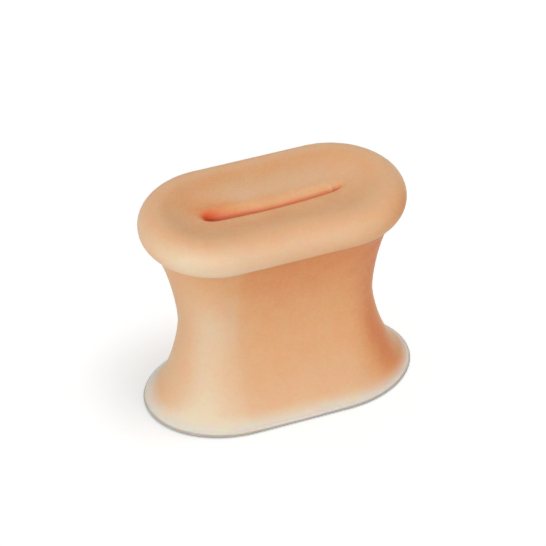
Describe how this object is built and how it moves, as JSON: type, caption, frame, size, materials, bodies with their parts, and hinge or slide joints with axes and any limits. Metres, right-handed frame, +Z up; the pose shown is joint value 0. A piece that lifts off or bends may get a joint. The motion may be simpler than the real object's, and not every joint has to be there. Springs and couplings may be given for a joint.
{
  "type": "toe separator",
  "caption": "One-piece soft gel toe separator: a flattened spool with a rolled top flange, a concave waist, a thin flared base and a narrow slot down its middle.",
  "frame": {"origin": "centre of the flat underside, directly below the middle of the slot", "axes": "+X along the long sides of the flange and the base, +Y across them from one toe hollow to the other, +Z up from the thin base to the rolled flange"},
  "size_m": [0.0294, 0.0158, 0.0241],
  "materials": {
    "gel": "satin, soft flesh-coloured gel"
  },
  "bodies": {
    "root": {"toe_separator": "gel"}
  },
  "joints": []
}
